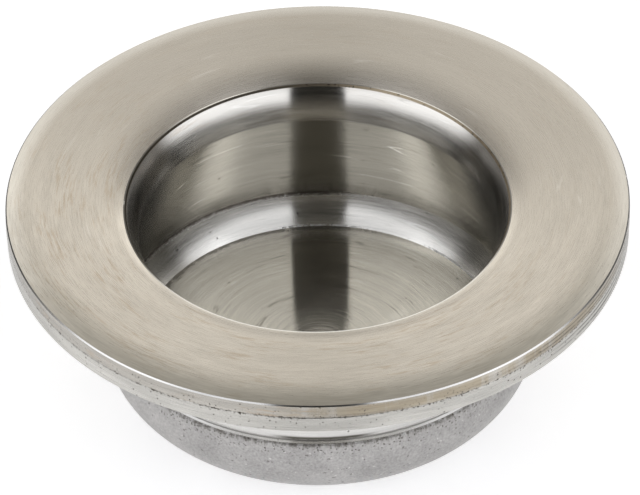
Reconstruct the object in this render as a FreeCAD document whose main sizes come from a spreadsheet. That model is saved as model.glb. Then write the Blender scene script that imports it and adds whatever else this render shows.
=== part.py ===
"""Recessed pull handle: a round flush finger cup for a door or drawer front.

The handle is one casting. Its flange, the inside of its cup and the spigot under
the flange were turned after casting. The outside of the cup was left as cast.
Millimetres, +Z up, with the origin on the axis at the foot of the cup, so that
heights count from the surface that the cup rests on.
"""
import FreeCAD
import Part
import math
import os

import Sketcher

NODE = "flush_cup"

# Driving sizes in millimetres. Every other size is worked out from these.
SIZES = {
    "flange_dia": 60.0,
    "flange_thick": 3.6,
    "overall_height": 21.6,
    # Rim of the flange: two turned bands that meet at a fine tool line.
    "rim_top_bevel": 0.25,
    "rim_foot_bevel": 0.35,
    "upper_band_height": 1.1,
    "tool_line_width": 0.16,
    "tool_line_depth": 0.14,
    "lower_band_relief": 0.08,
    # Face of the flange: a flat crown ring that rolls off to the rim and to the mouth.
    "outer_roll_width": 3.7,
    "outer_roll_drop": 0.3,
    "inner_roll_width": 3.7,
    "inner_roll_drop": 0.8,
    # Turned spigot that locates the cup in its bored hole.
    "neck_dia": 41.3,
    "neck_root_bevel": 0.5,
    # Shell of the cup, as cast: a short upright band above a full corner round.
    "shell_height": 8.75,
    "shell_overhang": 0.5,
    "shoulder_bevel": 0.3,
    "shell_edge_bevel": 0.15,
    "corner_round": 6.7,
    # Finger cup: lip, throat, undercut wall, a flat cove that meets it at an edge, floor.
    "mouth_land": 0.18,
    "mouth_land_drop": 0.2,
    "lip_flare": 1.1,
    "lip_depth": 4.4,
    "neck_wall": 3.35,
    "shell_wall": 1.85,
    "cove_width": 1.9,
    "cove_height": 2.7,
    "cove_radius": 6.0,
    "floor_thick": 3.7,
}

# How far the cutting profile of the finger cup stands above the flange.
CUTTER_RISE = 1.0

# A sketch's upright axis and its origin, and the numbers of the points of an edge.
AXIS_INDEX = -2
ORIGIN = (-1, 1)
START_INDEX = 1
END_INDEX = 2
CENTRE_INDEX = 3


class Size:
    """A length with its value and the sheet expression that drives it."""

    def __init__(self, text, value):
        self.text = text
        self.value = value

    def __add__(self, other):
        return Size("({} + {})".format(self.text, other.text), self.value + other.value)

    def __sub__(self, other):
        return Size("({} - {})".format(self.text, other.text), self.value - other.value)

    def half(self):
        return Size("({} / 2)".format(self.text), self.value / 2.0)


def fixed(value):
    """A length that no cell drives."""
    return Size("{} mm".format(value), value)


def make_sheet(doc):
    """Write the driving sizes into a spreadsheet, one named cell a row."""
    sheet = doc.addObject("Spreadsheet::Sheet", "Sizes")
    for row, (name, value) in enumerate(SIZES.items(), start=1):
        sheet.set("A{}".format(row), name)
        sheet.set("B{}".format(row), str(value))
        sheet.setAlias("B{}".format(row), name)
    doc.recompute()
    return sheet


def size(sheet, name):
    """One driving size, read from the sheet."""
    return Size("{}.{} * 1 mm".format(sheet.Name, name), float(sheet.get(name)))


class Section:
    """A half section on the upright plane: corners by radius and height, joined in a ring."""

    def __init__(self, body, name):
        self.sketch = body.newObject("Sketcher::SketchObject", name)
        plane = next(f for f in body.Origin.OriginFeatures if f.Role == "XZ_Plane")
        self.sketch.AttachmentSupport = [(plane, "")]
        self.sketch.MapMode = "FlatFace"
        self.edges = []

    def place(self, edge, end, corner):
        """Hold one end of an edge at its corner's radius and height."""
        radius, height = corner
        if radius.value == 0.0:
            self.sketch.addConstraint(Sketcher.Constraint("PointOnObject", edge, end, AXIS_INDEX))
        else:
            self.drive("DistanceX", edge, end, radius)
        if height.value == 0.0:
            self.sketch.addConstraint(Sketcher.Constraint("PointOnObject", edge, end, ORIGIN[0]))
        else:
            self.drive("DistanceY", edge, end, height)

    def drive(self, kind, edge, end, length):
        """Measure a point from the origin and bind the distance to the sheet."""
        index = self.sketch.addConstraint(
            Sketcher.Constraint(kind, ORIGIN[0], ORIGIN[1], edge, end, length.value))
        self.sketch.setExpression("Constraints[{}]".format(index), length.text)

    def line(self, start, end):
        """A straight side from one corner to the next."""
        edge = self.sketch.addGeometry(Part.LineSegment(point(start), point(end)), False)
        self.edges.append((edge, START_INDEX, END_INDEX))
        self.place(edge, END_INDEX, end)

    def arc(self, start, end, flat_at, level):
        """An arc between two corners.

        flat_at is the corner where the arc runs level (level is True) or upright
        (level is False), which puts its centre straight above, below or beside it.
        """
        a, b = point(start), point(end)
        anchor, other = (a, b) if flat_at is start else (b, a)
        run, rise = other.x - anchor.x, other.y - anchor.y
        if level:
            offset = (run * run + rise * rise) / (2.0 * rise)
            centre = FreeCAD.Vector(anchor.x, anchor.y + offset, 0)
        else:
            offset = (run * run + rise * rise) / (2.0 * run)
            centre = FreeCAD.Vector(anchor.x + offset, anchor.y, 0)
        turn = (a - centre).cross(b - centre).z
        first, last = (a, b) if turn > 0 else (b, a)
        circle = Part.Circle(centre, FreeCAD.Vector(0, 0, 1), (a - centre).Length)
        shape = Part.ArcOfCircle(circle, circle.parameter(first), circle.parameter(last))
        edge = self.sketch.addGeometry(shape, False)
        ends = (START_INDEX, END_INDEX)
        start_end, end_end = ends if turn > 0 else ends[::-1]
        self.edges.append((edge, start_end, end_end))
        self.place(edge, end_end, end)
        anchor_end = start_end if flat_at is start else end_end
        kind = "Vertical" if level else "Horizontal"
        self.sketch.addConstraint(Sketcher.Constraint(kind, edge, CENTRE_INDEX, edge, anchor_end))

    def bow(self, start, end, radius):
        """An arc of a given radius that bows out to the right of the way to its end."""
        a, b = point(start), point(end)
        half = (b - a) / 2.0
        reach = math.sqrt(radius.value ** 2 - half.Length ** 2)
        centre = a + half + FreeCAD.Vector(-half.y, half.x, 0).normalize() * reach
        circle = Part.Circle(centre, FreeCAD.Vector(0, 0, 1), radius.value)
        shape = Part.ArcOfCircle(circle, circle.parameter(a), circle.parameter(b))
        edge = self.sketch.addGeometry(shape, False)
        self.edges.append((edge, START_INDEX, END_INDEX))
        self.place(edge, END_INDEX, end)
        index = self.sketch.addConstraint(Sketcher.Constraint("Radius", edge, radius.value))
        self.sketch.setExpression("Constraints[{}]".format(index), radius.text)

    def close(self):
        """Join every edge to the one after it, and the last one to the first."""
        following = self.edges[1:] + self.edges[:1]
        for (edge, _, last), (after, first, _) in zip(self.edges, following):
            self.sketch.addConstraint(Sketcher.Constraint("Coincident", edge, last, after, first))
        return self.sketch


def point(corner):
    """A corner's radius and height as a sketch point."""
    return FreeCAD.Vector(corner[0].value, corner[1].value, 0)


class Levels:
    """Radii and heights that the casting and its finger cup share."""

    def __init__(self, sheet):
        def get(name):
            return size(sheet, name)

        self.axis = fixed(0.0)
        self.foot = fixed(0.0)
        self.crown = get("overall_height")
        self.rim = get("flange_dia").half()
        self.neck = get("neck_dia").half()
        self.shell = self.neck + get("shell_overhang")
        self.throat = self.neck - get("neck_wall")
        self.land = self.throat + get("lip_flare")
        self.mouth = self.land + get("mouth_land")
        self.mouth_height = self.crown - get("inner_roll_drop")
        self.floor = get("floor_thick")


def add_casting(body, sheet, at):
    """Turn the whole outside of the handle about its axis, with no hollow yet."""
    def get(name):
        return size(sheet, name)

    section = Section(body, "CastingSection")
    underside = at.crown - get("flange_thick")
    shoulder = get("shell_height")
    bevel_top = get("rim_top_bevel")
    bevel_foot = get("rim_foot_bevel")
    root = get("neck_root_bevel")
    slope = get("shoulder_bevel")
    edge = get("shell_edge_bevel")
    corner = get("corner_round")
    rim_top = at.crown - get("outer_roll_drop")
    crown_edge = at.rim - bevel_top - get("outer_roll_width")
    band_foot = rim_top - bevel_top - get("upper_band_height")
    line_bed = at.rim - get("tool_line_depth")
    lower_rim = at.rim - get("lower_band_relief")

    base = (at.axis, at.foot)
    corner_in = (at.shell - corner, at.foot)
    corner_out = (at.shell, corner)
    shell_top = (at.shell, shoulder - edge)
    shell_in = (at.shell - edge, shoulder)
    slope_foot = (at.neck + slope, shoulder)
    slope_top = (at.neck, shoulder + slope)
    neck_top = (at.neck, underside - root)
    root_out = (at.neck + root, underside)
    foot_in = (lower_rim - bevel_foot, underside)
    foot_out = (lower_rim, underside + bevel_foot)
    line_low = (lower_rim, band_foot - get("tool_line_width"))
    line_deep = (line_bed, band_foot - get("tool_line_width").half())
    line_high = (at.rim, band_foot)
    bevel_low = (at.rim, rim_top - bevel_top)
    bevel_high = (at.rim - bevel_top, rim_top)
    crown_out = (crown_edge, at.crown)
    crown_mid = (at.axis, at.crown)

    section.line(base, corner_in)
    section.arc(corner_in, corner_out, corner_in, True)
    section.line(corner_out, shell_top)
    section.line(shell_top, shell_in)
    section.line(shell_in, slope_foot)
    section.line(slope_foot, slope_top)
    section.line(slope_top, neck_top)
    section.line(neck_top, root_out)
    section.line(root_out, foot_in)
    section.line(foot_in, foot_out)
    section.line(foot_out, line_low)
    section.line(line_low, line_deep)
    section.line(line_deep, line_high)
    section.line(line_high, bevel_low)
    section.line(bevel_low, bevel_high)
    section.arc(bevel_high, crown_out, crown_out, True)
    section.line(crown_out, crown_mid)
    section.line(crown_mid, base)
    return revolve(body, "PartDesign::Revolution", "Casting", section.close())


def add_finger_cup(body, sheet, at):
    """Turn out the finger cup: floor, cove, undercut wall, throat, lip and mouth."""
    def get(name):
        return size(sheet, name)

    section = Section(body, "FingerCupSection")
    wall_foot = at.shell - get("shell_wall")
    cove_top = at.floor + get("cove_height")
    above = at.crown + fixed(CUTTER_RISE)

    floor_mid = (at.axis, at.floor)
    floor_edge = (wall_foot - get("cove_width"), at.floor)
    cove_edge = (wall_foot, cove_top)
    throat = (at.throat, at.crown - get("lip_depth"))
    land_in = (at.land, at.mouth_height - get("mouth_land_drop"))
    land_out = (at.mouth, at.mouth_height)
    crown_in = (at.mouth + get("inner_roll_width"), at.crown)
    above_out = (crown_in[0], above)
    above_mid = (at.axis, above)

    section.line(floor_mid, floor_edge)
    section.bow(floor_edge, cove_edge, get("cove_radius"))
    section.line(cove_edge, throat)
    section.arc(throat, land_in, throat, False)
    section.line(land_in, land_out)
    section.arc(land_out, crown_in, crown_in, True)
    section.line(crown_in, above_out)
    section.line(above_out, above_mid)
    section.line(above_mid, floor_mid)
    return revolve(body, "PartDesign::Groove", "FingerCup", section.close())


def revolve(body, kind, name, sketch):
    """Turn a section through a full circle about the handle's axis."""
    feature = body.newObject(kind, name)
    feature.Profile = sketch
    feature.ReferenceAxis = (sketch, ["V_Axis"])
    feature.Angle = 360.0
    sketch.Visibility = False
    return feature


def check(doc, body):
    """Stop if any object failed, or if the handle is not one sound solid."""
    failed = [o.Name for o in doc.Objects if "Invalid" in o.State or "Error" in o.State]
    if failed:
        raise RuntimeError("these objects failed: {}".format(", ".join(failed)))
    shape = body.Shape
    if shape.isNull() or not shape.isValid() or len(shape.Solids) != 1:
        raise RuntimeError("the handle is not one valid solid")


def main():
    """Build the handle and write it to parts."""
    os.makedirs("parts", exist_ok=True)
    doc = FreeCAD.newDocument("RecessedPull")
    sheet = make_sheet(doc)
    body = doc.addObject("PartDesign::Body", "FlushCup")
    body.Label = NODE
    at = Levels(sheet)
    casting = add_casting(body, sheet, at)
    doc.recompute()
    solid_volume = casting.Shape.Volume
    add_finger_cup(body, sheet, at)
    doc.recompute()
    check(doc, body)
    if body.Shape.Volume >= solid_volume:
        raise RuntimeError("the finger cup removed nothing")
    body.Shape.exportStep(os.path.join("parts", NODE + ".step"))
    box = body.Shape.optimalBoundingBox()
    print("{}: {:.2f} x {:.2f} x {:.2f} mm, {:.0f} cubic mm".format(
        NODE, box.XLength, box.YLength, box.ZLength, body.Shape.Volume))


main()
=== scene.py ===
"""Dresses the recessed pull handle: a round flush finger cup, cast in one piece.

The casting is one lathe surface with a finish for each stretch of its section:
brushed face and cup, polished rim and neck, and a shell left rough from the mould.
Lengths are in metres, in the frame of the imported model.
"""
import logging
import math
from dataclasses import dataclass, field
from enum import Enum
from typing import Dict, List, Optional, Sequence, Tuple

import bpy
import numpy as np
from mathutils import Matrix


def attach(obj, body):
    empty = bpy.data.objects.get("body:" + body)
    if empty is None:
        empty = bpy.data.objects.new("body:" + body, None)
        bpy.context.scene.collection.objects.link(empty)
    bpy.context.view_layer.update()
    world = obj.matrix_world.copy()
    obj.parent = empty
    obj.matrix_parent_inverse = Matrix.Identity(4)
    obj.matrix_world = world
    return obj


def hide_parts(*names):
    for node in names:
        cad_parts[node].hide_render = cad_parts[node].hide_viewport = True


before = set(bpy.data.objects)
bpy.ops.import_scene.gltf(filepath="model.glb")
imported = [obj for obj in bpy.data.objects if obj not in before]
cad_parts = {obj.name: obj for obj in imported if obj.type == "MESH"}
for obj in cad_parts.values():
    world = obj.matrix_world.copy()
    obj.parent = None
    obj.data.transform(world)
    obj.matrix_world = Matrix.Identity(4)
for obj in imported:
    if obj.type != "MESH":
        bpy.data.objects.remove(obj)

LOG = logging.getLogger("recessed_pull")

MM = 0.001
NODE = "flush_cup"
BODY = "root"
PHOTO_SIZE = (640, 495)

# Angles round the axis, and the size of a dot's cell in a band of dots.
FRONT = -math.pi / 2.0
BACK = math.pi / 2.0
RIGHT = 0.0
DOT_SIZE = 3e-4

Point = Tuple[float, float]
Colour = Tuple[float, float, float]
Sockets = Sequence[bpy.types.NodeSocket]

# Colours that several marks share, in linear light.
BROWN_DIRT = (0.09, 0.07, 0.055)
GREY_DIRT = (0.09, 0.085, 0.075)
# The white of fresh metal in scratches, also used for the painted highlight on the cove's burr.
FRESH_METAL_AND_HIGHLIGHT = (1.0, 0.99, 0.97)
DARK_SCRATCH = (0.16, 0.14, 0.11)
DEEP_PIT = (0.05, 0.04, 0.03)
SAND_PIT = (0.1, 0.09, 0.08)
SAND_GLINT = (0.95, 0.94, 0.92)


class Zone(Enum):
    """A stretch of the section that has its own finish."""

    FLOOR = 0
    COVE = 1
    WALL = 2
    LIP = 3
    LAND = 4
    MOUTH = 5
    FACE = 6
    EDGE = 7
    UPPER_BAND = 8
    TOOL_LINE = 9
    LOWER_BAND = 10
    UNDERSIDE = 11
    NECK = 12
    SHELL = 13


@dataclass(frozen=True)
class Run:
    """One stretch of the section, from point to point, straight or curved.

    Attributes:
        zone: the finish that it takes.
        points: radius and height of its points, shape (n, 2).
    """

    zone: Zone
    points: np.ndarray


def straight(start: Point, end: Point, step: float) -> np.ndarray:
    """Evenly spaced points on a straight line.

    Args:
        start: first point, as radius and height.
        end: last point.
        step: the widest spacing.

    Returns:
        The points, shape (n, 2).
    """
    length = math.dist(start, end)
    share = np.linspace(0.0, 1.0, max(2, int(math.ceil(length / step)) + 1))[:, None]
    return np.array(start) * (1.0 - share) + np.array(end) * share


def arc(start: Point, end: Point, centre: Point, step: float) -> np.ndarray:
    """Points on a circle's arc, centre + radius * (cos t, sin t), t going the short way.

    Args:
        start: first point, as radius and height.
        end: last point.
        centre: the circle's centre.
        step: the widest spacing along the arc.

    Returns:
        The points, shape (n, 2).
    """
    first = math.atan2(start[1] - centre[1], start[0] - centre[0])
    last = math.atan2(end[1] - centre[1], end[0] - centre[0])
    turn = (last - first + math.pi) % (2.0 * math.pi) - math.pi
    radius = math.dist(start, centre)
    count = max(3, int(math.ceil(abs(turn) * radius / step)) + 1)
    angle = first + turn * np.linspace(0.0, 1.0, count)
    return np.column_stack((centre[0] + radius * np.cos(angle),
                            centre[1] + radius * np.sin(angle)))


def bow(start: Point, end: Point, radius: float, step: float) -> np.ndarray:
    """Points on the arc of a given radius that bows to the right of start to end.

    Args:
        start: first point, as radius and height.
        end: last point.
        radius: the arc's radius.
        step: the widest spacing along the arc.

    Returns:
        The points, shape (n, 2).
    """
    chord = math.dist(start, end)
    reach = math.sqrt(radius * radius - chord * chord / 4.0)
    left = ((start[1] - end[1]) / chord, (end[0] - start[0]) / chord)
    centre = ((start[0] + end[0]) / 2.0 + reach * left[0],
              (start[1] + end[1]) / 2.0 + reach * left[1])
    return arc(start, end, centre, step)


def dish_radius(width: float, depth: float) -> float:
    """The radius of the arc that starts level and has gone aside by width and down by depth."""
    return (width ** 2 + depth ** 2) / (2.0 * depth)


@dataclass
class CastingSizes:
    """Sizes of the casting, in millimetres, with heights from the foot of the cup.

    The rim, neck, shell, throat and wall_foot are radii. The crown, underside, shoulder and
    floor are heights. A pair is a width and a height or drop. The rolls are the face's bends
    to the rim and to the mouth, and the bevels run between the rim and the faces beside it.
    """

    rim: float = 30.0
    crown: float = 21.6
    underside: float = 18.0
    bevel_top: float = 0.12
    bevel_foot: float = 0.12
    band: float = 1.3
    line_width: float = 0.16
    line_depth: float = 0.14
    lower_relief: float = 0.08
    outer_roll: Point = (3.7, 0.3)
    inner_roll: Point = (3.7, 0.8)
    neck: float = 20.65
    neck_root: float = 0.5
    shell: float = 21.15
    shoulder: float = 8.75
    slope: float = 0.3
    shell_edge: float = 0.15
    corner: float = 6.7
    throat: float = 17.3
    lip_flare: float = 1.1
    lip_depth: float = 4.4
    land: Point = (0.18, 0.2)
    mouth_flat: float = 0.12
    cove: Point = (1.9, 2.7)
    cove_radius: float = 6.0
    wall_foot: float = 19.3
    floor: float = 3.7


@dataclass
class Casting:
    """The whole handle: a section turned about the axis.

    Attributes:
        sizes: the sizes of the section.
        around: how many facets go round the axis.
        step: the widest spacing along the section, in millimetres.
        crease: the angle, in degrees, from which an edge is shaded sharp.
    """

    sizes: CastingSizes = field(default_factory=CastingSizes)
    around: int = 384
    step: float = 0.4
    crease: float = 12.0
    _zones: np.ndarray = field(init=False, repr=False)

    def runs(self) -> List[Run]:
        """The section's stretches from the middle of the floor round to the foot.

        Returns:
            The runs in order, in millimetres, each starting where the last ended.
        """
        s = self.sizes
        face_in = s.throat + s.lip_flare + s.land[0]
        mouth = (face_in, s.crown - s.inner_roll[1])
        land = (s.throat + s.lip_flare, mouth[1] - s.land[1])
        face_start = (mouth[0] + s.mouth_flat, mouth[1])
        throat = (s.throat, s.crown - s.lip_depth)
        cove_top = (s.wall_foot, s.floor + s.cove[1])
        crease = (s.wall_foot - s.cove[0], s.floor)
        crown_in = (face_start[0] + s.inner_roll[0], s.crown)
        bevel_in = (s.rim - s.bevel_top, s.crown - s.outer_roll[1])
        crown_out = (bevel_in[0] - s.outer_roll[0], s.crown)
        bevel_out = (s.rim, bevel_in[1] - s.bevel_top)
        band_foot = (s.rim, bevel_out[1] - s.band)
        lower = s.rim - s.lower_relief
        line_bed = (s.rim - s.line_depth, band_foot[1] - s.line_width / 2.0)
        line_low = (lower, band_foot[1] - s.line_width)
        foot_out = (lower, s.underside + s.bevel_foot)
        foot_in = (lower - s.bevel_foot, s.underside)
        root_out = (s.neck + s.neck_root, s.underside)
        neck_top = (s.neck, s.underside - s.neck_root)
        slope_top = (s.neck, s.shoulder + s.slope)
        slope_foot = (s.neck + s.slope, s.shoulder)
        shell_in = (s.shell - s.shell_edge, s.shoulder)
        shell_top = (s.shell, s.shoulder - s.shell_edge)
        corner_top = (s.shell, s.corner)
        corner_foot = (s.shell - s.corner, 0.0)
        lip_radius = dish_radius(land[1] - throat[1], s.lip_flare)
        inner_radius = dish_radius(*s.inner_roll)
        outer_radius = dish_radius(*s.outer_roll)
        step = self.step
        fine = step / 4.0
        return [
            Run(Zone.FLOOR, straight((0.0, s.floor), crease, 4.0 * step)),
            Run(Zone.COVE, bow(crease, cove_top, s.cove_radius, step / 2.0)),
            Run(Zone.WALL, straight(cove_top, throat, 2.0 * step)),
            Run(Zone.LIP, arc(throat, land, (throat[0] + lip_radius, throat[1]), step)),
            Run(Zone.LAND, straight(land, mouth, fine)),
            Run(Zone.MOUTH, straight(mouth, face_start, fine)),
            Run(Zone.FACE, arc(face_start, crown_in, (crown_in[0], s.crown - inner_radius), step)),
            Run(Zone.FACE, straight(crown_in, crown_out, 4.0 * step)),
            Run(Zone.FACE, arc(crown_out, bevel_in, (crown_out[0], s.crown - outer_radius), step)),
            Run(Zone.EDGE, straight(bevel_in, bevel_out, step)),
            Run(Zone.UPPER_BAND, straight(bevel_out, band_foot, step)),
            Run(Zone.TOOL_LINE, straight(band_foot, line_bed, step)),
            Run(Zone.TOOL_LINE, straight(line_bed, line_low, step)),
            Run(Zone.LOWER_BAND, straight(line_low, foot_out, step)),
            Run(Zone.EDGE, straight(foot_out, foot_in, step)),
            Run(Zone.UNDERSIDE, straight(foot_in, root_out, 4.0 * step)),
            Run(Zone.NECK, straight(root_out, neck_top, step)),
            Run(Zone.NECK, straight(neck_top, slope_top, 4.0 * step)),
            Run(Zone.NECK, straight(slope_top, slope_foot, step)),
            Run(Zone.NECK, straight(slope_foot, shell_in, step)),
            Run(Zone.SHELL, straight(shell_in, shell_top, fine)),
            Run(Zone.SHELL, straight(shell_top, corner_top, step)),
            Run(Zone.SHELL, arc(corner_top, corner_foot, (corner_foot[0], s.corner), step)),
            Run(Zone.SHELL, straight(corner_foot, (0.0, 0.0), 4.0 * step)),
        ]

    def build(self) -> bpy.types.Object:
        """Turns the section: point (r, z) at angle t goes to (r cos t, r sin t, z).

        Returns:
            The finished piece, with the attribute run, the way along the section.
        """
        points: List[np.ndarray] = []
        zones: List[int] = []
        for run in self.runs():
            fresh = run.points if not points else run.points[1:]
            points.append(fresh)
            zones.extend([run.zone.value] * (len(run.points) - 1))
        section = np.vstack(points) * MM
        way = self._way_along(section)
        angle = np.arange(self.around) * (2.0 * math.pi / self.around)
        inner = section[1:-1]
        grid = np.empty((len(inner), self.around, 3))
        grid[..., 0] = inner[:, :1] * np.cos(angle)
        grid[..., 1] = inner[:, :1] * np.sin(angle)
        grid[..., 2] = inner[:, 1:]
        poles = np.array([[0.0, 0.0, section[0, 1]], [0.0, 0.0, section[-1, 1]]])
        vertices = np.vstack((grid.reshape(-1, 3), poles))
        here = np.arange(self.around)
        after = (here + 1) % self.around
        row = np.arange(len(inner) - 1)[:, None] * self.around
        quads = np.stack((row + here, row + after, row + self.around + after,
                          row + self.around + here), axis=-1).reshape(-1, 4)
        floor_pole = len(vertices) - 2
        foot_pole = len(vertices) - 1
        last = (len(inner) - 1) * self.around
        floor_fan = np.column_stack((np.full(self.around, floor_pole), after, here))
        foot_fan = np.column_stack((np.full(self.around, foot_pole), last + here, last + after))
        faces = quads[:, ::-1].tolist() + floor_fan[:, ::-1].tolist() + foot_fan[:, ::-1].tolist()
        mesh = bpy.data.meshes.new("handle_casting")
        mesh.from_pydata(vertices.tolist(), [], faces)
        zone_of_face = np.concatenate((
            np.repeat(zones[1:-1], self.around),
            np.full(self.around, zones[0]),
            np.full(self.around, zones[-1])))
        mesh.polygons.foreach_set("use_smooth", np.ones(len(faces), dtype=bool))
        way_of_vertex = np.concatenate((np.repeat(way[1:-1], self.around), way[[0, -1]]))
        attribute = mesh.attributes.new("run", "FLOAT", "POINT")
        attribute.data.foreach_set("value", way_of_vertex.astype(np.float32))
        piece = bpy.data.objects.new("handle_casting", mesh)
        bpy.context.scene.collection.objects.link(piece)
        self._zones = zone_of_face
        mesh.set_sharp_from_angle(angle=math.radians(self.crease))
        mesh.update()
        return piece

    @staticmethod
    def _way_along(section: np.ndarray) -> np.ndarray:
        """How far each point of a section lies along it: the running sum of its steps."""
        return np.concatenate(([0.0], np.cumsum(np.hypot(*np.diff(section, axis=0).T))))

    def marks(self) -> Dict[Zone, Tuple[float, float]]:
        """Where each zone first begins and last ends along the section.

        Returns:
            The two places of each zone, in metres.
        """
        found: Dict[Zone, Tuple[float, float]] = {}
        so_far = 0.0
        for run in self.runs():
            end = so_far + float(self._way_along(run.points)[-1]) * MM
            found[run.zone] = (found.get(run.zone, (so_far, end))[0], end)
            so_far = end
        return found

    def dress(self, piece: bpy.types.Object, finishes: Dict[Zone, bpy.types.Material]) -> None:
        """Gives each stretch of the surface its finish.

        Args:
            piece: the built casting.
            finishes: the material of each zone.
        """
        order: List[bpy.types.Material] = []
        for material in finishes.values():
            if material not in order:
                order.append(material)
                piece.data.materials.append(material)
        lookup = np.zeros(len(Zone), dtype=np.int32)
        for zone, material in finishes.items():
            lookup[zone.value] = order.index(material)
        piece.data.polygons.foreach_set("material_index", lookup[self._zones])
        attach(piece, BODY)
        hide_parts(NODE)


class Graph:
    """A node tree with short ways to add and join its nodes."""

    def __init__(self, tree: bpy.types.NodeTree) -> None:
        """Takes an empty node tree to fill."""
        self.tree = tree

    @classmethod
    def of(cls, owner: bpy.types.ID) -> "Graph":
        """Switches a material or a world to nodes and takes its tree, emptied."""
        owner.use_nodes = True
        owner.node_tree.nodes.clear()
        return cls(owner.node_tree)

    def add(self, kind: str, inputs: Optional[Dict] = None, **settings) -> bpy.types.Node:
        """Adds a node, sets its properties and fills or joins its inputs.

        Args:
            kind: the node's type name.
            inputs: values or sockets, keyed by input name or number.
            **settings: properties of the node.

        Returns:
            The new node.
        """
        node = self.tree.nodes.new(kind)
        for name, value in settings.items():
            setattr(node, name, value)
        for key, value in (inputs or {}).items():
            socket = node.inputs[key]
            if isinstance(value, bpy.types.NodeSocket):
                self.tree.links.new(value, socket)
            else:
                socket.default_value = value
        return node

    def math(self, operation: str, *values, clamp: bool = False) -> bpy.types.NodeSocket:
        """A Math node's result for numbers or sockets, kept within 0 and 1 if clamp is set."""
        inputs = dict(enumerate(values))
        return self.add("ShaderNodeMath", inputs, operation=operation, use_clamp=clamp).outputs[0]

    def ramp(self, value, low: float, high: float, start: float = 0.0,
             end: float = 1.0) -> bpy.types.NodeSocket:
        """A smooth step from start to end as value goes from low to high."""
        inputs = {0: value, 1: low, 2: high, 3: start, 4: end}
        return self.add("ShaderNodeMapRange", inputs, interpolation_type="SMOOTHSTEP").outputs[0]

    def mix(self, share, first, second) -> bpy.types.NodeSocket:
        """A blend of two colours, RGBA or sockets, with share as the part of the second."""
        node = self.add("ShaderNodeMix", {0: share, 6: first, 7: second}, data_type="RGBA")
        return node.outputs[2]

    def lay(self, mask, strength: float, under, colour: Colour) -> bpy.types.NodeSocket:
        """Lays a plain colour over another, where a mask is and as far as strength."""
        cover = self.math("MULTIPLY", mask, strength)
        return self.mix(cover, under, (*colour, 1.0))

    def blend(self, share, first, second) -> bpy.types.NodeSocket:
        """A blend of two numbers or sockets, with share as the part of the second."""
        return self.add("ShaderNodeMix", {0: share, 2: first, 3: second}).outputs[0]

    def swing(self, value, reach: float) -> bpy.types.NodeSocket:
        """A noise value of 0 to 1 turned into a swing of about plus or minus reach."""
        return self.math("MULTIPLY", self.math("SUBTRACT", value, 0.5), 4.0 * reach)

    def scaled(self, vector, factor) -> bpy.types.NodeSocket:
        """A place or a colour times a factor, each a value or a socket."""
        node = self.add("ShaderNodeVectorMath", {0: vector, "Scale": factor}, operation="SCALE")
        return node.outputs[0]

    def noise(self, place, detail: float, roughness: float = 0.5, scale: float = 1.0,
              output: str = "Fac") -> bpy.types.NodeSocket:
        """A Noise Texture at a place, as a number, or as a colour with the output Color."""
        inputs = {"Vector": place, "Scale": scale, "Detail": detail, "Roughness": roughness}
        return self.add("ShaderNodeTexNoise", inputs).outputs[output]

    def profile(self, height, levels: Sequence[Point], colour: Colour) -> bpy.types.NodeSocket:
        """A colour whose brightness follows the elevation of the way that is looked in.

        Args:
            height: the sine of the elevation.
            levels: elevations in degrees, from low to high, each with its brightness.
            colour: the colour at a brightness of one.

        Returns:
            The colour output socket.
        """
        total = 0.0
        for (low, before), (high, after) in zip(levels[:-1], levels[1:]):
            step = self.ramp(height, math.sin(math.radians(low)), math.sin(math.radians(high)),
                             0.0, after - before)
            total = self.math("ADD", total, step)
        return self.scaled(colour, self.math("ADD", total, levels[0][1]))

    def group(self, tree: bpy.types.NodeTree, **values: float) -> bpy.types.Node:
        """Places a node group with its own values.

        Args:
            tree: the group's tree.
            **values: its inputs by name.

        Returns:
            The group node.
        """
        node = self.tree.nodes.new("ShaderNodeGroup")
        node.node_tree = tree
        for label, value in values.items():
            node.inputs[label].default_value = value
        return node


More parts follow.
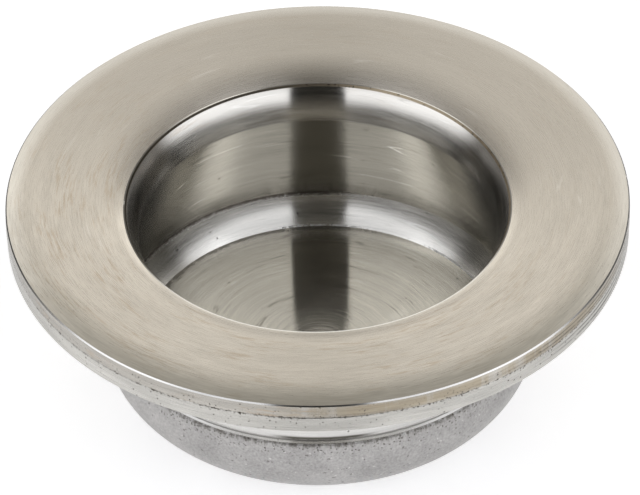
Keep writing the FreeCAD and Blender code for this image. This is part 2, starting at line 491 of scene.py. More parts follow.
class Effects:
    """Surface effects that several finishes share, each a node group built once.

    Attributes:
        BROAD_STREAK: the streak of the broad bands, in streaks of the fine grain.
        BROAD_PITCH: their pitch, in pitches of the fine grain.
        DOT_WOBBLE: how fine the waviness of a dot's outline is.
        DOT_EDGE: how far from its middle a dot begins to fade and is gone, in cells.
        ARC_GATE: the length over which an arc comes and goes, as a share of its length.
        ARC_CUT: the noise level above which an arc shows, and how far a full share lowers it.
        GAP_LENGTH: the length of a gap in a ring, in grains.
        RING_EDGE: where a ring is gone, in halves of its width, and it is full up to 1 less.
        SHARP: how sharply an arc, and a ring, breaks off.
    """

    BROAD_STREAK = 3.0
    BROAD_PITCH = 9.0
    DOT_WOBBLE = 1.7
    DOT_EDGE = (0.2, 0.38)
    ARC_GATE = 0.4
    ARC_CUT = (0.75, 0.5)
    GAP_LENGTH = 3.0
    RING_EDGE = 1.4
    SHARP = (12.0, 7.0)

    def __init__(self) -> None:
        """Builds every group."""
        self.grain = self._grain()
        self.specks = self._specks()
        self.scratches = self._scratches()
        self.line = self._line()
        self.facing = self._facing()

    @staticmethod
    def _start(name: str, outputs: Sequence[str], **inputs: float) -> Tuple[Graph, Sockets]:
        """Opens a group with named float inputs and outputs.

        Args:
            name: the group's name.
            outputs: each output's name.
            **inputs: each input's first value by name.

        Returns:
            The graph of the group, and the sockets that bring its inputs.
        """
        tree = bpy.data.node_groups.new(name, "ShaderNodeTree")
        for label, value in inputs.items():
            socket = tree.interface.new_socket(label, in_out="INPUT",
                                               socket_type="NodeSocketFloat")
            socket.default_value = value
        for label in outputs:
            tree.interface.new_socket(label, in_out="OUTPUT", socket_type="NodeSocketFloat")
        graph = Graph(tree)
        return graph, graph.add("NodeGroupInput").outputs[:len(inputs)]

    @staticmethod
    def _place(graph: Graph, aside, along, seed) -> bpy.types.NodeSocket:
        """Coordinates stretched round the axis: (x, y) over aside, the run over along.

        Args:
            graph: the group's graph.
            aside: the length of a mark round the axis.
            along: its width along the section.
            seed: a shift that gives another pattern.

        Returns:
            The coordinates.
        """
        place = graph.add("ShaderNodeTexCoord").outputs["Object"]
        axes = graph.add("ShaderNodeSeparateXYZ", {0: place}).outputs
        run = graph.add("ShaderNodeAttribute", attribute_name="run").outputs["Fac"]
        x = graph.math("DIVIDE", axes[0], aside)
        y = graph.math("DIVIDE", axes[1], aside)
        z = graph.math("ADD", graph.math("DIVIDE", run, along), seed)
        return graph.add("ShaderNodeCombineXYZ", {0: x, 1: y, 2: z}).outputs[0]

    def _grain(self) -> bpy.types.NodeTree:
        """Fine turned lines in short streaks, with broader bands under them."""
        graph, (streak, pitch, seed) = self._start("turned_grain", ("Fine", "Broad"),
                                                   Streak=5e-3, Pitch=1e-4, Seed=0.0)
        fine = graph.noise(self._place(graph, streak, pitch, seed), 3.0, 0.65)
        wide = self._place(graph, graph.math("MULTIPLY", streak, self.BROAD_STREAK),
                           graph.math("MULTIPLY", pitch, self.BROAD_PITCH), seed)
        broad = graph.noise(wide, 3.0, 0.6)
        graph.add("NodeGroupOutput", {"Fine": fine, "Broad": broad})
        return graph.tree

    def _specks(self) -> bpy.types.NodeTree:
        """Small round pits, one in a few cells of a Voronoi pattern."""
        graph, (size, share, seed) = self._start("specks", ("Mask",), Size=2e-4, Share=0.1,
                                                 Seed=0.0)
        place = graph.add("ShaderNodeTexCoord").outputs["Object"]
        shift = graph.add("ShaderNodeCombineXYZ", {0: seed, 1: seed, 2: seed}).outputs[0]
        scaled = graph.scaled(place, graph.math("DIVIDE", 1.0, size))
        moved = graph.add("ShaderNodeVectorMath", {0: scaled, 1: shift}, operation="ADD").outputs[0]
        wobble = graph.noise(moved, 2.0, scale=self.DOT_WOBBLE, output="Color")
        bent = graph.add("ShaderNodeVectorMath", {0: wobble, 1: moved}, operation="ADD").outputs[0]
        cells = graph.add("ShaderNodeTexVoronoi", {"Vector": bent, "Scale": 1.0})
        pick = graph.add("ShaderNodeSeparateColor", {0: cells.outputs["Color"]}).outputs[0]
        chosen = graph.math("LESS_THAN", pick, share)
        near = graph.ramp(cells.outputs["Distance"], *self.DOT_EDGE, 1.0, 0.0)
        graph.add("NodeGroupOutput", {"Mask": graph.math("MULTIPLY", chosen, near)})
        return graph.tree

    def _scratches(self) -> bpy.types.NodeTree:
        """Thin arcs round the axis: the level lines of a stretched noise, kept here and there."""
        graph, (length, pitch, width, share, seed) = self._start(
            "arc_scratches", ("Mask",), Length=2e-2, Pitch=1e-3, Width=0.02, Share=0.3, Seed=0.0)
        level = graph.noise(self._place(graph, length, pitch, seed), 1.0)
        off = graph.math("ABSOLUTE", graph.math("SUBTRACT", level, 0.5))
        thin = graph.math("SUBTRACT", 1.0, graph.math("DIVIDE", off, width), clamp=True)
        short = graph.math("MULTIPLY", length, self.ARC_GATE)
        gate = graph.noise(self._place(graph, short, pitch, seed), 2.0)
        cut, fall = self.ARC_CUT
        low = graph.math("SUBTRACT", cut, graph.math("MULTIPLY", share, fall))
        over = graph.math("SUBTRACT", gate, low, clamp=True)
        kept = graph.math("MULTIPLY", over, self.SHARP[0], clamp=True)
        graph.add("NodeGroupOutput", {"Mask": graph.math("MULTIPLY", thin, kept)})
        return graph.tree

    def _line(self) -> bpy.types.NodeTree:
        """A ring at one place along the section, with a ragged edge and broken stretches."""
        graph, (place, width, ragged, grain, broken, seed) = self._start(
            "ring_line", ("Mask",), Place=0.0, Width=2e-4, Ragged=1e-4, Grain=4e-4, Broken=0.0,
            Seed=0.0)
        run = graph.add("ShaderNodeAttribute", attribute_name="run").outputs["Fac"]
        rough = graph.noise(self._place(graph, grain, grain, seed), 3.0, 0.7)
        shift = graph.math("MULTIPLY", graph.math("SUBTRACT", rough, 0.5), ragged)
        off = graph.math("ABSOLUTE", graph.math("SUBTRACT", graph.math("ADD", run, shift), place))
        half = graph.math("MULTIPLY", width, 0.5)
        body = graph.math("SUBTRACT", self.RING_EDGE, graph.math("DIVIDE", off, half), clamp=True)
        apart = self._place(graph, graph.math("MULTIPLY", grain, self.GAP_LENGTH), 1.0,
                            graph.math("ADD", seed, 7.0))
        gaps = graph.noise(apart, 5.0, 0.65)
        over = graph.math("SUBTRACT", gaps, broken, clamp=True)
        kept = graph.math("MULTIPLY", over, self.SHARP[1], clamp=True)
        graph.add("NodeGroupOutput", {"Mask": graph.math("MULTIPLY", body, kept)})
        return graph.tree

    def _facing(self) -> bpy.types.NodeTree:
        """One on the side of the handle that lies toward an angle, fading to nothing."""
        graph, (toward, spread) = self._start("facing", ("Mask",), Toward=0.0, Spread=8.0)
        spot = graph.add("ShaderNodeTexCoord").outputs["Object"]
        axes = graph.add("ShaderNodeSeparateXYZ", {0: spot}).outputs
        angle = graph.math("SUBTRACT", graph.math("ARCTAN2", axes[1], axes[0]), toward)
        turned = graph.math("ABSOLUTE", graph.math("WRAP", angle, math.pi, -math.pi))
        mask = graph.ramp(turned, graph.math("MULTIPLY", spread, 0.5), spread, 1.0, 0.0)
        graph.add("NodeGroupOutput", {"Mask": mask})
        return graph.tree

    def side(self, graph: Graph, toward: float, spread: float) -> bpy.types.NodeSocket:
        """Places the facing group in a material and returns its mask."""
        return graph.group(self.facing, Toward=toward, Spread=spread).outputs[0]

    def dots(self, graph: Graph, size: float, share: float, seed: float) -> bpy.types.NodeSocket:
        """Places the specks group in a material and returns its mask."""
        return graph.group(self.specks, Size=size, Share=share, Seed=seed).outputs[0]


@dataclass(frozen=True)
class Ring:
    """A line that runs round the casting at one place along its section.

    Attributes:
        place: where it lies along the section, in metres.
        width: its width, in metres.
        colour: the colour that it has.
        strength: how much it covers.
        ragged: how far its edge wanders, in metres.
        grain: the size of that wandering, in metres.
        broken: from 0, whole, to about 0.6, mostly gone.
        roughness: the roughness in the line.
        seed: picks another pattern.
        side: the angle and spread, in radians, of the side that has it, with 8 all round.
        pepper: the share of places that have a dot, for a band of dots, or 0 for a whole line.
    """

    place: float
    width: float
    colour: Colour
    strength: float = 1.0
    ragged: float = 1e-4
    grain: float = 6e-4
    broken: float = 0.2
    roughness: float = 0.4
    seed: float = 0.0
    side: Point = (RIGHT, 8.0)
    pepper: float = 0.0

    def mask(self, graph: Graph, effects: Effects) -> bpy.types.NodeSocket:
        """Places the ring's node group in a material.

        Args:
            graph: the material's graph.
            effects: the shared node groups.

        Returns:
            How much of the ring there is at a point, from 0 to its strength.
        """
        line = graph.group(effects.line, Place=self.place, Width=self.width,
                           Ragged=self.ragged, Grain=self.grain, Broken=self.broken,
                           Seed=self.seed).outputs[0]
        side = effects.side(graph, *self.side)
        cover = graph.math("MULTIPLY", graph.math("MULTIPLY", line, side), self.strength)
        if self.pepper:
            dots = effects.dots(graph, DOT_SIZE, self.pepper, self.seed)
            cover = graph.math("MULTIPLY", cover, dots)
        return cover


@dataclass(frozen=True)
class Arcs:
    """Long thin scratches round the axis.

    Attributes:
        length: their length, in metres.
        pitch: how far apart they lie, in metres.
        width: how wide they are, as a swing of the noise that draws them.
        share: how much of them is kept.
        colour: their colour.
        cover: how far they cover, as a share of the finish's scratch.
        shift: what they add to the finish's seed.
    """

    length: float
    pitch: float
    width: float
    share: float
    colour: Colour
    cover: float
    shift: float


ARCS = (
    Arcs(1.6e-2, 1.1e-3, 0.02, 0.35, FRESH_METAL_AND_HIGHLIGHT, 1.0, 3.0),
    Arcs(1.1e-2, 8e-4, 0.025, 0.4, DARK_SCRATCH, 0.7, 5.0),
)


@dataclass(frozen=True)
class TurnedFinish:
    """Metal turned on a lathe: grain round the axis, with its stains, scratches and pits, and
    painted shade away from one side.

    Attributes:
        name: the material's name.
        colour: the metal's colour in linear light.
        roughness: how blurred its reflections are across the grain.
        stretch: how much sharper they are along the grain.
        streak: the length of a grain line, in metres.
        pitch: its width, in metres.
        grain: how far the fine grain lightens and darkens the metal.
        broad: the same for the broader bands.
        scatter: how far the grain changes the roughness.
        stain: how far the brown stains cover the metal.
        stain_colour: their colour.
        stain_size: the length and width of a stain, in metres.
        stain_patch: the noise levels between which a patch of stains comes in.
        stain_fleck: the same for a single fleck in it.
        stain_side: the angle and spread, in radians, of the side that has most of them.
        stain_rest: how much of them the rest of the surface has.
        painted_shade: how far the metal is darkened away from unshaded_side, as painted shade.
        calm: how far the grain fades away from unshaded_side, with that painted shade.
        unshaded_side: the angle and spread, in radians, of the side left without painted shade.
        scratch: how bright the long arcs are.
        pits: the share of places that have a pit.
        pit_size: the size of a pit's cell, in metres.
        pit_cover: how far a pit covers the metal.
        rings: lines at set places.
        seed: picks another pattern.
    """

    name: str
    colour: Colour
    roughness: float
    stretch: float = 0.9
    streak: float = 5e-3
    pitch: float = 1.2e-4
    grain: float = 0.1
    broad: float = 0.1
    scatter: float = 0.1
    stain: float = 0.0
    stain_colour: Colour = (0.4, 0.29, 0.185)
    stain_size: Point = (2.4e-3, 2.2e-4)
    stain_patch: Point = (0.46, 0.62)
    stain_fleck: Point = (0.46, 0.64)
    stain_side: Point = (RIGHT, 8.0)
    stain_rest: float = 0.2
    painted_shade: float = 0.0
    calm: float = 0.0
    unshaded_side: Point = (BACK, 2.3)
    scratch: float = 0.0
    pits: float = 0.0
    pit_size: float = 6e-4
    pit_cover: float = 0.85
    rings: Tuple[Ring, ...] = ()
    seed: float = 0.0

    def make(self, effects: Effects) -> bpy.types.Material:
        """Builds the material.

        Args:
            effects: the shared node groups.

        Returns:
            The new material.
        """
        material = bpy.data.materials.new(self.name)
        graph = Graph.of(material)
        grain = graph.group(effects.grain, Streak=self.streak, Pitch=self.pitch, Seed=self.seed)
        fine, broad = grain.outputs["Fine"], grain.outputs["Broad"]
        swing = graph.math("ADD", graph.swing(fine, self.grain), graph.swing(broad, self.broad))
        # Painted shade: away from unshaded_side the metal is darkened by dull and its grain calmed
        # by calm.
        if self.painted_shade:
            side = effects.side(graph, *self.unshaded_side)
            swing = graph.math("MULTIPLY", swing,
                               graph.math("MULTIPLY_ADD", side, self.calm, 1.0 - self.calm))
            level = graph.math("MULTIPLY_ADD", side, self.painted_shade, 1.0 - self.painted_shade)
            tone = graph.math("MULTIPLY", graph.math("ADD", 1.0, swing), level)
        else:
            tone = graph.math("ADD", 1.0, swing)
        colour = graph.scaled(self.colour, tone)
        rough = graph.math("ADD", self.roughness, graph.swing(fine, self.scatter))
        if self.stain:
            colour = self._stain(graph, effects, colour)
        if self.scratch:
            colour = self._scratch(graph, effects, colour)
        if self.pits:
            pit = effects.dots(graph, self.pit_size, self.pits, self.seed)
            colour = graph.lay(pit, self.pit_cover, colour, DEEP_PIT)
        for ring in self.rings:
            cover = ring.mask(graph, effects)
            colour = graph.mix(cover, colour, graph.scaled(ring.colour, tone))
            rough = graph.blend(cover, rough, ring.roughness)
        tangent = graph.add("ShaderNodeTangent", direction_type="RADIAL", axis="Z").outputs[0]
        shader = graph.add("ShaderNodeBsdfPrincipled", {
            "Base Color": colour, "Metallic": 1.0, "Roughness": rough, "Tangent": tangent,
            "Anisotropic": self.stretch, "Anisotropic Rotation": 0.25})
        graph.add("ShaderNodeOutputMaterial", {"Surface": shader.outputs[0]})
        return material

    def _stain(self, graph: Graph, effects: Effects, colour) -> bpy.types.NodeSocket:
        """Lays brown stains, drawn out along the grain, over a colour.

        Args:
            graph: the material's graph.
            effects: the shared node groups.
            colour: the metal's colour.

        Returns:
            The stained colour.
        """
        length, width = self.stain_size
        patch = graph.group(effects.grain, Streak=length, Pitch=width, Seed=self.seed + 11.0)
        where = graph.ramp(patch.outputs["Broad"], *self.stain_patch)
        flecks = graph.ramp(patch.outputs["Fine"], *self.stain_fleck)
        side = effects.side(graph, *self.stain_side)
        reach = graph.math("MULTIPLY_ADD", side, 1.0 - self.stain_rest, self.stain_rest)
        most = graph.math("MULTIPLY", reach, self.stain)
        share = graph.math("MULTIPLY", graph.math("MULTIPLY", where, flecks), most, clamp=True)
        return graph.mix(share, colour, (*self.stain_colour, 1.0))

    def _scratch(self, graph: Graph, effects: Effects, colour) -> bpy.types.NodeSocket:
        """Draws light and dark arcs over a colour.

        Args:
            graph: the material's graph.
            effects: the shared node groups.
            colour: the metal's colour.

        Returns:
            The scratched colour.
        """
        masks = [graph.group(effects.scratches, Length=arcs.length, Pitch=arcs.pitch,
                             Width=arcs.width, Share=arcs.share,
                             Seed=self.seed + arcs.shift).outputs[0] for arcs in ARCS]
        for arcs, mask in zip(ARCS, masks):
            colour = graph.lay(mask, self.scratch * arcs.cover, colour, arcs.colour)
        return colour


@dataclass(frozen=True)
class CastFinish:
    """Metal left as it came from the mould: matt, sandy and speckled.

    Attributes:
        name: the material's name.
        colour: the metal's colour in linear light.
        roughness: how blurred its reflections are.
        sand: the size of its sandy grain, in metres.
        cloud: the scale of its clouds, as a share of the sand's.
        tone: how far the grain lightens and darkens it, and the clouds 0.6 of that.
        depth: the depth of the sandy grain, in metres.
        pits: the share of places that have a pit, and half as many have a glint.
        pit: the size of a pit's cell, in metres, and how far a pit covers.
        glint: the same for a glint.
        rings: lines at set places.
    """

    name: str
    colour: Colour
    roughness: float
    sand: float = 2.6e-4
    cloud: float = 0.06
    tone: float = 0.1
    depth: float = 3e-5
    pits: float = 0.05
    pit: Point = (4.2e-4, 0.6)
    glint: Point = (3.4e-4, 0.35)
    rings: Tuple[Ring, ...] = ()

    def make(self, effects: Effects) -> bpy.types.Material:
        """Builds the material.

        Args:
            effects: the shared node groups.

        Returns:
            The new material.
        """
        material = bpy.data.materials.new(self.name)
        graph = Graph.of(material)
        place = graph.add("ShaderNodeTexCoord").outputs["Object"]
        sand = graph.noise(place, 3.0, 0.7, scale=1.0 / self.sand)
        cloud = graph.noise(place, 2.0, scale=self.cloud / self.sand)
        tone = graph.math("ADD", 1.0, graph.math("ADD", graph.swing(sand, self.tone),
                                                 graph.swing(cloud, self.tone * 0.6)))
        colour = graph.scaled(self.colour, tone)
        pits = effects.dots(graph, self.pit[0], self.pits, 2.0)
        colour = graph.lay(pits, self.pit[1], colour, SAND_PIT)
        glints = effects.dots(graph, self.glint[0], self.pits * 0.5, 9.0)
        colour = graph.lay(glints, self.glint[1], colour, SAND_GLINT)
        for ring in self.rings:
            colour = graph.mix(ring.mask(graph, effects), colour, (*ring.colour, 1.0))
        bump = graph.add("ShaderNodeBump", {"Height": sand, "Distance": self.depth,
                                            "Strength": 1.0}).outputs[0]
        shader = graph.add("ShaderNodeBsdfPrincipled", {
            "Base Color": colour, "Metallic": 1.0, "Roughness": self.roughness, "Normal": bump})
        graph.add("ShaderNodeOutputMaterial", {"Surface": shader.outputs[0]})
        return material


@dataclass(frozen=True)
class Panel:
    """A part of the light tent, from one bearing round to the next panel.

    Attributes:
        start: the bearing at which it begins, in degrees from the front, on both sides.
        soft: over how many degrees it fades in.
        colour: its colour at a brightness of one.
        levels: elevations in degrees, from low to high, each with its brightness.
        lean: how many degrees further round its edge lies high up.
    """

    start: float
    soft: float
    colour: Colour
    levels: Tuple[Point, ...]
    lean: float = 0.0


@dataclass
class Studio:
    """The floor, the camera and the light tent round the handle.

    Attributes:
        crown_height: height of the crown, by which the camera is placed, in metres.
        distance: how far the camera stands from it, in metres.
        elevation: how far the camera looks down, in degrees.
        roll: how far it is rolled, in degrees.
        picture_scale: pixels to a metre at the crown.
        crown_pixel: where the crown's centre lies in the picture.
        sensor: the camera's sensor width, in millimetres.
        sight: how far the camera sees, in metres.
        floor_colour: the floor's colour.
        floor_size: the floor's width, in metres.
        floor_drop: how far it lies under the foot, in metres.
        floor_lift: how far it glows, so that it stays white.
        gap_bearing: the bearing of the tent's dark gap, in degrees from the front.
        gap_colour: its colour at a brightness of one.
        gap_levels: elevations in it, in degrees, each with its brightness.
        lean_rise: the sines of elevation between which a panel's edge leans out.
        panels: the rest of the tent, from the gap round to the back.
    """

    crown_height: float = 21.6 * MM
    distance: float = 1.2
    elevation: float = 40.15
    roll: float = -1.05
    picture_scale: float = 10410.0
    crown_pixel: Point = (317.5, 199.75)
    sensor: float = 36.0
    sight: float = 20.0
    floor_colour: Colour = (0.95, 0.95, 0.96)
    floor_size: float = 6.0
    floor_drop: float = 2e-5
    floor_lift: float = 0.48
    gap_bearing: float = -1.0
    gap_colour: Colour = (1.0, 0.95, 0.82)
    gap_levels: Tuple[Point, ...] = ((0.0, 0.008), (36.0, 0.01), (54.0, 0.1), (76.0, 0.1),
                                     (84.0, 0.06))
    lean_rise: Point = (0.68, 0.85)
    panels: Tuple[Panel, ...] = (
        Panel(15.6, 1.4, (0.99, 1.0, 1.03), ((0.0, 1.5), (24.0, 1.5), (36.0, 1.3), (46.0, 0.75),
                                             (62.0, 0.65), (74.0, 0.7), (84.0, 0.12)), 6.0),
        Panel(68.0, 12.0, (0.99, 1.0, 1.03), ((0.0, 1.5), (24.0, 1.5), (36.0, 1.1), (46.0, 1.3),
                                              (60.0, 1.7), (74.0, 1.5), (84.0, 0.12))),
        Panel(93.0, 18.0, (1.0, 0.97, 0.93), ((0.0, 0.3), (36.0, 0.3), (48.0, 0.4), (66.0, 0.35),
                                             (84.0, 0.12))),
        Panel(145.0, 14.0, (1.0, 0.97, 0.91), ((0.0, 0.3), (6.0, 0.6), (14.0, 1.1), (28.0, 1.1),
                                               (36.0, 1.0), (48.0, 0.95), (58.0, 0.75),
                                               (70.0, 0.5), (84.0, 0.15))),
    )

    def build_camera(self) -> bpy.types.Object:
        """Places the camera so that the crown's centre falls on its pixel.

        Returns:
            The camera.
        """
        rise = math.radians(self.elevation)
        turn = math.radians(self.roll)
        width, height = PHOTO_SIZE
        off = (self.crown_pixel[0] - width / 2.0, self.crown_pixel[1] - height / 2.0)
        level = (math.cos(turn) * off[0] + math.sin(turn) * off[1],
                 -math.sin(turn) * off[0] + math.cos(turn) * off[1])
        aside = -level[0] / self.picture_scale
        below = level[1] / self.picture_scale
        data = bpy.data.cameras.new("photo_camera")
        data.sensor_width = self.sensor
        data.lens = self.sensor * self.distance * self.picture_scale / width
        data.clip_end = self.sight
        camera = bpy.data.objects.new("photo_camera", data)
        bpy.context.scene.collection.objects.link(camera)
        right = np.array([1.0, 0.0, 0.0])
        forward = np.array([0.0, math.cos(rise), -math.sin(rise)])
        up = np.array([0.0, math.sin(rise), math.cos(rise)])
        crown = np.array([0.0, 0.0, self.crown_height])
        place = crown - forward * self.distance + right * aside + up * below
        rolled_right = math.cos(turn) * right + math.sin(turn) * up
        rolled_up = -math.sin(turn) * right + math.cos(turn) * up
        matrix = np.identity(4)
        matrix[:3, 0] = rolled_right
        matrix[:3, 1] = rolled_up
        matrix[:3, 2] = -forward
        matrix[:3, 3] = place
        camera.matrix_world = Matrix(matrix.tolist())
        bpy.context.scene.camera = camera
        return camera

    def build_floor(self) -> bpy.types.Object:
        """Lays a pale floor under the handle.

        Returns:
            The floor.
        """
        half = self.floor_size / 2.0
        mesh = bpy.data.meshes.new("studio_floor")
        low = -self.floor_drop
        mesh.from_pydata([(-half, -half, low), (half, -half, low), (half, half, low),
                          (-half, half, low)], [], [(0, 1, 2, 3)])
        floor = bpy.data.objects.new("studio_floor", mesh)
        bpy.context.scene.collection.objects.link(floor)
        material = bpy.data.materials.new("pale_floor")
        graph = Graph.of(material)
        base = graph.add("ShaderNodeBsdfDiffuse", {"Color": (*self.floor_colour, 1.0)})
        rays = graph.add("ShaderNodeLightPath")
        lift = graph.add("ShaderNodeEmission", {"Color": (1.0, 1.0, 1.0, 1.0),
                                                "Strength": self.floor_lift})
        both = graph.add("ShaderNodeAddShader", {0: base.outputs[0], 1: lift.outputs[0]})
        shown = graph.math("MAXIMUM", rays.outputs["Is Camera Ray"],
                           graph.math("MAXIMUM", rays.outputs["Is Glossy Ray"],
                                      rays.outputs["Is Transmission Ray"]))
        seen = graph.add("ShaderNodeMixShader", {0: shown, 1: base.outputs[0],
                                                 2: both.outputs[0]})
        graph.add("ShaderNodeOutputMaterial", {"Surface": seen.outputs[0]})
        mesh.materials.append(material)
        return floor

    def light(self) -> bpy.types.World:
        """Lights the handle with a tent: bright sides, a dark gap at the front, a grey top.

        Returns:
            The world.
        """
        world = bpy.data.worlds.new("light_tent")
        graph = Graph.of(world)
        way = graph.add("ShaderNodeTexCoord").outputs["Generated"]
        x, y, z = graph.add("ShaderNodeSeparateXYZ", {0: way}).outputs
        front = graph.math("MULTIPLY", y, -1.0)
        bearing = graph.math("ARCTAN2", x, front)
        turn = graph.math("ABSOLUTE",
                          graph.math("SUBTRACT", bearing, math.radians(self.gap_bearing)))
        tent = graph.profile(z, self.gap_levels, self.gap_colour)
        for panel in self.panels:
            low = math.radians(panel.start - panel.soft / 2.0)
            high = math.radians(panel.start + panel.soft / 2.0)
            bearing = turn
            if panel.lean:
                lean = graph.ramp(z, *self.lean_rise, 0.0, math.radians(panel.lean))
                bearing = graph.math("SUBTRACT", turn, lean)
            tent = graph.mix(graph.ramp(bearing, low, high), tent,
                             graph.profile(z, panel.levels, panel.colour))
        shade = graph.add("ShaderNodeBackground", {"Color": tent, "Strength": 1.0})
        graph.add("ShaderNodeOutputWorld", {"Surface": shade.outputs[0]})
        bpy.context.scene.world = world
        return world


@dataclass(frozen=True)
class Finishes:
    """The finish of each zone of the casting.

    Attributes:
        marks: where each zone begins and ends along the section, in metres.
    """

    marks: Dict[Zone, Tuple[float, float]]

    def make(self, effects: Effects) -> Dict[Zone, bpy.types.Material]:
        """Builds every finish.

        Args:
            effects: the shared node groups.

        Returns:
            The material of each zone.
        """
        plans = (
            (self._floor(), (Zone.FLOOR,)),
            (self._cove(), (Zone.COVE,)),
            (self._cup(), (Zone.WALL,)),
            (self._lip(), (Zone.LIP,)),
            (self._land(), (Zone.LAND,)),
            (self._mouth(), (Zone.MOUTH,)),
            (self._face(), (Zone.FACE,)),
            (self._edge(), (Zone.EDGE,)),
            (self._upper_band(), (Zone.UPPER_BAND,)),
            (self._lower_band(), (Zone.TOOL_LINE, Zone.LOWER_BAND, Zone.UNDERSIDE)),
            (self._neck(), (Zone.NECK,)),
            (self._shell(), (Zone.SHELL,)),
        )
        made: Dict[Zone, bpy.types.Material] = {}
        for finish, zones in plans:
            made.update(dict.fromkeys(zones, finish.make(effects)))
        return made

    def _middle(self, zone: Zone) -> float:
        """The place halfway along a zone."""
        return sum(self.marks[zone]) / 2.0

    def _mouth(self) -> TurnedFinish:
        """The narrow flat at the mouth, burnished by fingers and made pale partly as a painted
        highlight, with black painted shade at three sides.
        """
        # Black rings of painted shade on the left, on the right and at the back.
        painted_shade_sides = ((0.9, (3.05, 0.9), 21.0), (0.8, (0.1, 0.75), 22.0), (0.85, (BACK, 0.45), 23.0))
        rings = tuple(
            Ring(self._middle(Zone.MOUTH), 3e-4, (0.05, 0.045, 0.04), strength, ragged=1.2e-4,
                 side=side, seed=seed)
            for strength, side, seed in painted_shade_sides)
        return TurnedFinish("burnished_mouth_painted_light", (0.92, 0.91, 0.88), 0.25, 0.8, rings=rings,
                            seed=5.0)

    def _face(self) -> TurnedFinish:
        """The flange's face: satin turned grain, brown flecks, painted shade on the outer margin in
        front and towards the back, painted highlights on the back margin and the front inner edge.
        """
        start, end = self.marks[Zone.FACE]
        # Painted light on the margins: shade along the outer edge in front, highlights along the
        # outer edge at the back and along the inner edge in front.
        painted_light_margins = (
            (end, 4.6e-3, (0.34, 0.325, 0.285), 0.75, 6.0, (FRONT, 1.7)),
            (end, 2.4e-3, (0.97, 0.95, 0.9), 0.55, 7.0, (BACK, 2.6)),
            (start, 1.3e-3, (0.9, 0.85, 0.77), 0.8, 8.0, (FRONT, 2.2)),
        )
        rings = tuple(
            Ring(place, width, colour, strength, ragged=2e-4, broken=0.0, roughness=0.28,
                 seed=seed, side=side)
            for place, width, colour, strength, seed, side in painted_light_margins)
        return TurnedFinish("brushed_face", (0.63, 0.59, 0.53), 0.28, streak=2e-3, pitch=1.1e-4,
                            grain=0.16, broad=0.07, scatter=0.03, stain=0.42,
                            stain_colour=(0.41, 0.31, 0.205), stain_side=(-2.1, 2.0), painted_shade=0.17,
                            calm=0.6, unshaded_side=(-1.75, 2.2), scratch=0.15, rings=rings)

    def _foot_dirt(self, place: float) -> Ring:
        """The dirt at the wall's foot, toward the back on the left."""
        return Ring(place + 2e-5, 5e-4, BROWN_DIRT, 0.85, ragged=9e-4, grain=2.2e-4, broken=0.3,
                    roughness=0.5, seed=1.0, side=(2.2, 1.1))

    def _cup(self) -> TurnedFinish:
        """The cup's wall: turned rings, scratches, pits, dirt along its foot and painted shade away
        from the back.
        """
        dirt_and_shade = self._foot_dirt(self.marks[Zone.WALL][0])
        return TurnedFinish("turned_cup", (0.475, 0.457, 0.412), 0.16, 1.0, pitch=2e-4,
                            grain=0.12, broad=0.07, scatter=0.02, painted_shade=0.5,
                            unshaded_side=(BACK, 1.25), scratch=0.8, pits=0.008,
                            pit_size=3.6e-4, rings=(dirt_and_shade,), seed=20.0)

    def _cove(self) -> TurnedFinish:
        """The cove at the wall's foot, brighter, with a ragged painted highlight of a burr along
        its lower edge.
        """
        start, end = self.marks[Zone.COVE]
        # White rings of painted highlight along the crease, at the back and at the back right.
        painted_highlights = ((1.8e-4, 0.42, (BACK, 0.3)), (2.2e-4, 0.4, (0.66, 0.32)))
        rings = (self._foot_dirt(end),) + tuple(
            Ring(start + 9e-5, width, FRESH_METAL_AND_HIGHLIGHT, ragged=2.4e-4, grain=1.3e-4, broken=broken,
                 roughness=0.75, seed=2.0, side=side)
            for width, broken, side in painted_highlights)
        return TurnedFinish("turned_cove", (0.8, 0.785, 0.75), 0.21, 1.0, pitch=2e-4,
                            scatter=0.03, scratch=0.4, pits=0.012, pit_size=3.6e-4,
                            rings=rings, seed=20.0)

    def _lip(self) -> TurnedFinish:
        """The flared lip, brighter than the wall from fingers, with painted shade away from the
        back.
        """
        throat = self.marks[Zone.LIP][0]
        line = Ring(throat + 2e-4, 1.4e-4, (0.22, 0.2, 0.17), 0.6, ragged=8e-5, grain=1e-3,
                    roughness=0.3, seed=3.0)
        return TurnedFinish("turned_lip", (0.71, 0.69, 0.65), 0.2, 1.0, pitch=2e-4,
                            grain=0.08, broad=0.08, scatter=0.03, stain=0.2, painted_shade=0.65,
                            unshaded_side=(BACK, 1.4), scratch=0.35, rings=(line,), seed=30.0)

    def _floor(self) -> TurnedFinish:
        """The cup's floor: turned rings, light arcs, specks, dirt along its edge and painted shade
        away from the right.
        """
        crease = self.marks[Zone.COVE][0]
        dirt_and_shade = Ring(crease - 2e-4, 6e-4, (0.12, 0.105, 0.085), 0.75, ragged=9e-4, grain=2.2e-4,
                    broken=0.32, roughness=0.45, seed=7.0, side=(2.2, 1.4))
        return TurnedFinish("turned_floor", (0.88, 0.855, 0.785), 0.13, 1.0, streak=6e-3,
                            pitch=1.3e-4, grain=0.15, broad=0.07, scatter=0.03, painted_shade=0.14,
                            unshaded_side=(RIGHT, 2.4), scratch=0.8, pits=0.006,
                            pit_size=3.6e-4, rings=(dirt_and_shade,), seed=40.0)

    def _land(self) -> TurnedFinish:
        """The thin pitted land inside the mouth, black with painted shade on one side."""
        # A black ring of painted shade along the land, on the left.
        dirt_and_shade = Ring(self._middle(Zone.LAND), 3e-4, (0.03, 0.028, 0.025), 0.9, ragged=6e-5,
                    grain=4e-4, roughness=0.5, seed=9.0, side=(2.6, 1.4))
        return TurnedFinish("mouth_land", (0.3, 0.25, 0.18), 0.35, 0.6, streak=2e-3, pitch=2e-4,
                            grain=0.2, broad=0.2, pits=0.35, pit_size=3.4e-4, rings=(dirt_and_shade,),
                            seed=60.0)

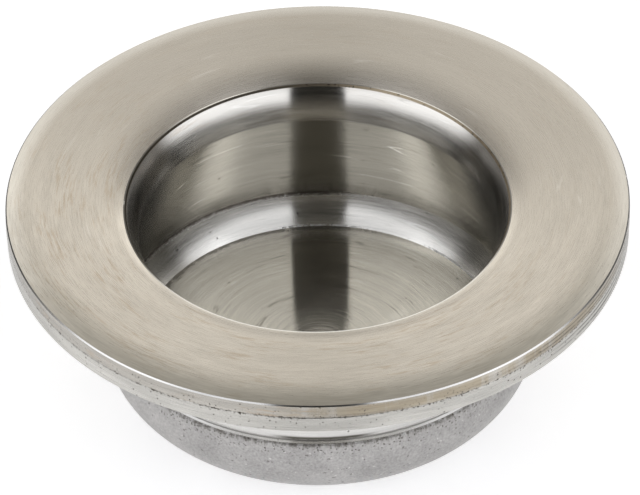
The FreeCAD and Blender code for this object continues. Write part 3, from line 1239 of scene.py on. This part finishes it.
    def _tool_line(self) -> Ring:
        """The dirt and pits that sit in the line round the rim."""
        return Ring(self._middle(Zone.TOOL_LINE), 3e-4, (0.06, 0.048, 0.035), ragged=9e-4,
                    grain=2.2e-4, broken=0.42, roughness=0.6, seed=4.0)

    def _side_lines(self, zone: Zone, lines: Sequence[Point], width: float, strength: float,
                    side: Point) -> Tuple[Ring, ...]:
        """Dark lines that run round one side of a band.

        Args:
            zone: the band.
            lines: each line's place, as a share of the band, and its seed.
            width: the width of a line, in metres.
            strength: how much a line covers.
            side: the angle and spread of the side that has them.

        Returns:
            The lines.
        """
        start, end = self.marks[zone]
        return tuple(
            Ring(start + share * (end - start), width, GREY_DIRT, strength, ragged=1.2e-4,
                 grain=8e-4, broken=0.3, seed=seed, side=side)
            for share, seed in lines)

    def _upper_band(self) -> TurnedFinish:
        """The rim's upper band, tan on the right of the front, with pits along its foot and painted
        shade away from the front.
        """
        tan = Ring(self._middle(Zone.UPPER_BAND), 1.5e-3, (0.345, 0.292, 0.21), 0.8,
                   ragged=7e-4, grain=9e-4, broken=0.34, roughness=0.3, seed=13.0,
                   side=(-1.0, 0.85))
        lines = self._side_lines(Zone.UPPER_BAND, ((0.35, 23.0), (0.7, 24.0)), 1.6e-4, 0.7,
                                 (-0.1, 1.0))
        pits = Ring(self.marks[Zone.UPPER_BAND][1] - 4e-4, 9e-4, GREY_DIRT, 0.95, ragged=3e-4,
                    grain=3e-4, broken=0.44, roughness=0.5, seed=25.0, side=(-1.25, 1.9),
                    pepper=0.5)
        return TurnedFinish("upper_band", (0.44, 0.42, 0.385), 0.26, streak=4e-3,
                            pitch=1.4e-4, grain=0.2, broad=0.2, stain=0.45, painted_shade=0.2,
                            unshaded_side=(FRONT, 1.4), pits=0.04, pit_size=3e-4,
                            rings=(tan, self._tool_line(), *lines, pits), seed=80.0)

    def _lower_band(self) -> TurnedFinish:
        """The rim's lower band and the flange's underside, pale and pitted, with painted shade away
        from the front.
        """
        lines = self._side_lines(Zone.LOWER_BAND, ((0.3, 11.0), (0.62, 12.0)), 2e-4, 0.8,
                                 (RIGHT, 0.9))
        return TurnedFinish("lower_band", (0.51, 0.498, 0.468), 0.28, 0.8, streak=4e-3,
                            pitch=1.6e-4, grain=0.18, broad=0.16, painted_shade=0.2,
                            unshaded_side=(FRONT, 1.4), pits=0.1, pit_size=2.8e-4,
                            rings=(self._tool_line(), *lines), seed=90.0)

    def _edge(self) -> TurnedFinish:
        """The broken edges of the flange: pale, partly as a painted highlight, with black painted
        reflections at the sides and in front.
        """
        foot = self.marks[Zone.UPPER_BAND][0]
        # Black rings of painted reflection at the top edge: on the left, on the right and in front.
        painted_shade_sides = (
            (0.9, 1e-4, 0.2, 0.4, 1.0, (3.0, 0.85)),
            (0.8, 1e-4, 0.25, 0.4, 2.0, (RIGHT, 0.8)),
            (0.75, 5e-5, 0.0, 0.3, 3.0, (FRONT, 0.2)),
        )
        rings = tuple(
            Ring(foot - 1e-4, 4e-4, (0.035, 0.033, 0.03), strength, ragged=ragged,
                 broken=broken, roughness=roughness, seed=seed, side=side)
            for strength, ragged, broken, roughness, seed, side in painted_shade_sides)
        return TurnedFinish("bright_edge_painted_light", (0.85, 0.84, 0.82), 0.22, grain=0.08, broad=0.08,
                            rings=rings, seed=100.0)

    def _neck(self) -> TurnedFinish:
        """The turned spigot under the flange, close to polished, with dark painted reflections near
        its foot.
        """
        foot = self.marks[Zone.NECK][1]
        # Dark rings of painted reflection: a thin one all round and a broad one in front.
        rings = (
            Ring(foot - 3.5e-4, 1.4e-4, (0.07, 0.065, 0.055), 0.7, broken=0.1, seed=14.0),
            Ring(foot - 6e-4, 3.4e-4, (0.08, 0.075, 0.06), 0.95, ragged=5e-5, broken=0.0,
                 roughness=0.2, seed=15.0, side=(-1.56, 0.28)),
        )
        return TurnedFinish("turned_neck", (0.63, 0.62, 0.6), 0.14, streak=8e-3, pitch=2e-4,
                            grain=0.12, broad=0.12, pits=0.02, pit_size=3.4e-4, rings=rings,
                            seed=120.0)

    def _shell(self) -> CastFinish:
        """The cup's outside, as cast, darker along its top in a ragged ring and in pits."""
        top = self.marks[Zone.SHELL][0]
        rings = (
            Ring(top, 9e-4, (0.1, 0.09, 0.075), 0.75, ragged=1.6e-3, grain=2e-4, broken=0.42,
                 seed=5.0),
            Ring(top + 3e-4, 2.6e-3, (0.08, 0.072, 0.06), 0.9, ragged=1.2e-3, broken=0.15,
                 seed=16.0, pepper=0.5),
        )
        return CastFinish("as_cast", (0.42, 0.41, 0.402), 0.5, tone=0.24, pits=0.1, rings=rings)


def main() -> None:
    """Builds the studio and the handle, and reports each piece."""
    logging.basicConfig(level=logging.INFO, format="%(name)s: %(message)s")
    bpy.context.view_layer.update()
    bpy.context.scene.view_settings.view_transform = "Standard"
    studio = Studio()
    studio.build_camera()
    studio.build_floor()
    studio.light()
    casting = Casting()
    piece = casting.build()
    casting.dress(piece, Finishes(casting.marks()).make(Effects()))
    LOG.info("%s has %d faces", piece.name, len(piece.data.polygons))


if __name__ == "__main__":
    main()
